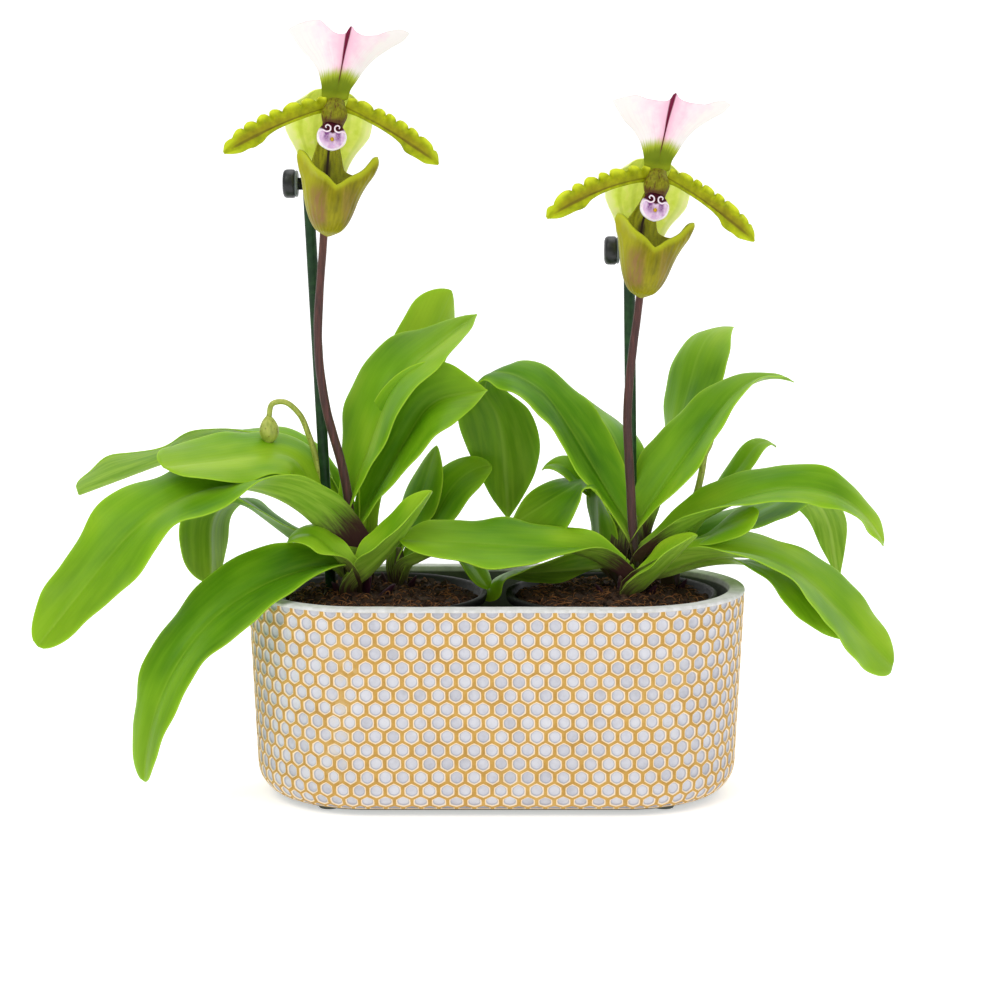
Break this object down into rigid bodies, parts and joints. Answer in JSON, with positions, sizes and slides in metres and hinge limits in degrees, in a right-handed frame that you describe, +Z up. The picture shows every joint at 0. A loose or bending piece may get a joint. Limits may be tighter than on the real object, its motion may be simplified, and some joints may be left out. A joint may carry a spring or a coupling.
{
  "type": "potted slipper orchid pair",
  "caption": "Two slipper orchids in bloom with strap leaves, stakes and clips, in liner pots inside an oval cement planter with a raised honeycomb net.",
  "frame": {"origin": "on the level the planter stands on, under the middle of the whole plant seen from above", "axes": "+X along the planter to the right seen from the front, +Y to the back, +Z up; the blooms face -Y"},
  "size_m": [0.3634, 0.1408, 0.3244],
  "materials": {
    "planter_cement": "matte",
    "liner_plastic": "satin",
    "medium_bark": "matte",
    "crown_sheath": "satin",
    "leaf_blade": "satin",
    "scape_stem": "satin",
    "stake_plastic": "satin",
    "clip_plastic": "satin",
    "bud_stem": "satin",
    "column_shield": "satin",
    "dorsal_sepal": "matte",
    "petal": "satin",
    "synsepal": "matte",
    "pouch": "satin"
  },
  "bodies": {
    "root": {"planter": "planter_cement", "liner_left": "liner_plastic", "liner_right": "liner_plastic", "stake_left": "stake_plastic", "stake_right": "stake_plastic", "scape_left": "scape_stem", "scape_right": "scape_stem", "clip_left": "clip_plastic", "clip_right": "clip_plastic", "crown_left_main": "crown_sheath", "crown_left_side": "crown_sheath", "crown_right_main": "crown_sheath", "crown_right_side": "crown_sheath", "medium_left": "medium_bark", "medium_right": "medium_bark", "bud_left": "bud_stem", "bud_right": "bud_stem", "leaf_left_1": "leaf_blade", "leaf_left_4": "leaf_blade", "leaf_left_5": "leaf_blade", "leaf_left_3": "leaf_blade", "leaf_left_2": "leaf_blade", "leaf_left_8": "leaf_blade", "leaf_left_10": "leaf_blade", "leaf_left_9": "leaf_blade", "leaf_left_6": "leaf_blade", "leaf_left_7": "leaf_blade", "leaf_left_11": "leaf_blade", "leaf_left_12": "leaf_blade", "leaf_left_13": "leaf_blade", "leaf_right_1": "leaf_blade", "leaf_right_2": "leaf_blade", "leaf_right_5": "leaf_blade", "leaf_right_6": "leaf_blade", "leaf_right_12": "leaf_blade", "leaf_right_3": "leaf_blade", "leaf_right_4": "leaf_blade", "leaf_right_7": "leaf_blade", "leaf_right_8": "leaf_blade", "leaf_right_9": "leaf_blade", "leaf_right_10": "leaf_blade", "leaf_right_11": "leaf_blade", "leaf_right_13": "leaf_blade", "leaf_right_14": "leaf_blade", "leaf_right_15": "leaf_blade", "column_left": "column_shield", "dorsal_sepal_left": "dorsal_sepal", "petal_a_left": "petal", "petal_b_left": "petal", "synsepal_left": "synsepal", "pouch_left": "pouch", "column_right": "column_shield", "dorsal_sepal_right": "dorsal_sepal", "petal_a_right": "petal", "petal_b_right": "petal", "synsepal_right": "synsepal", "pouch_right": "pouch"}
  },
  "joints": []
}
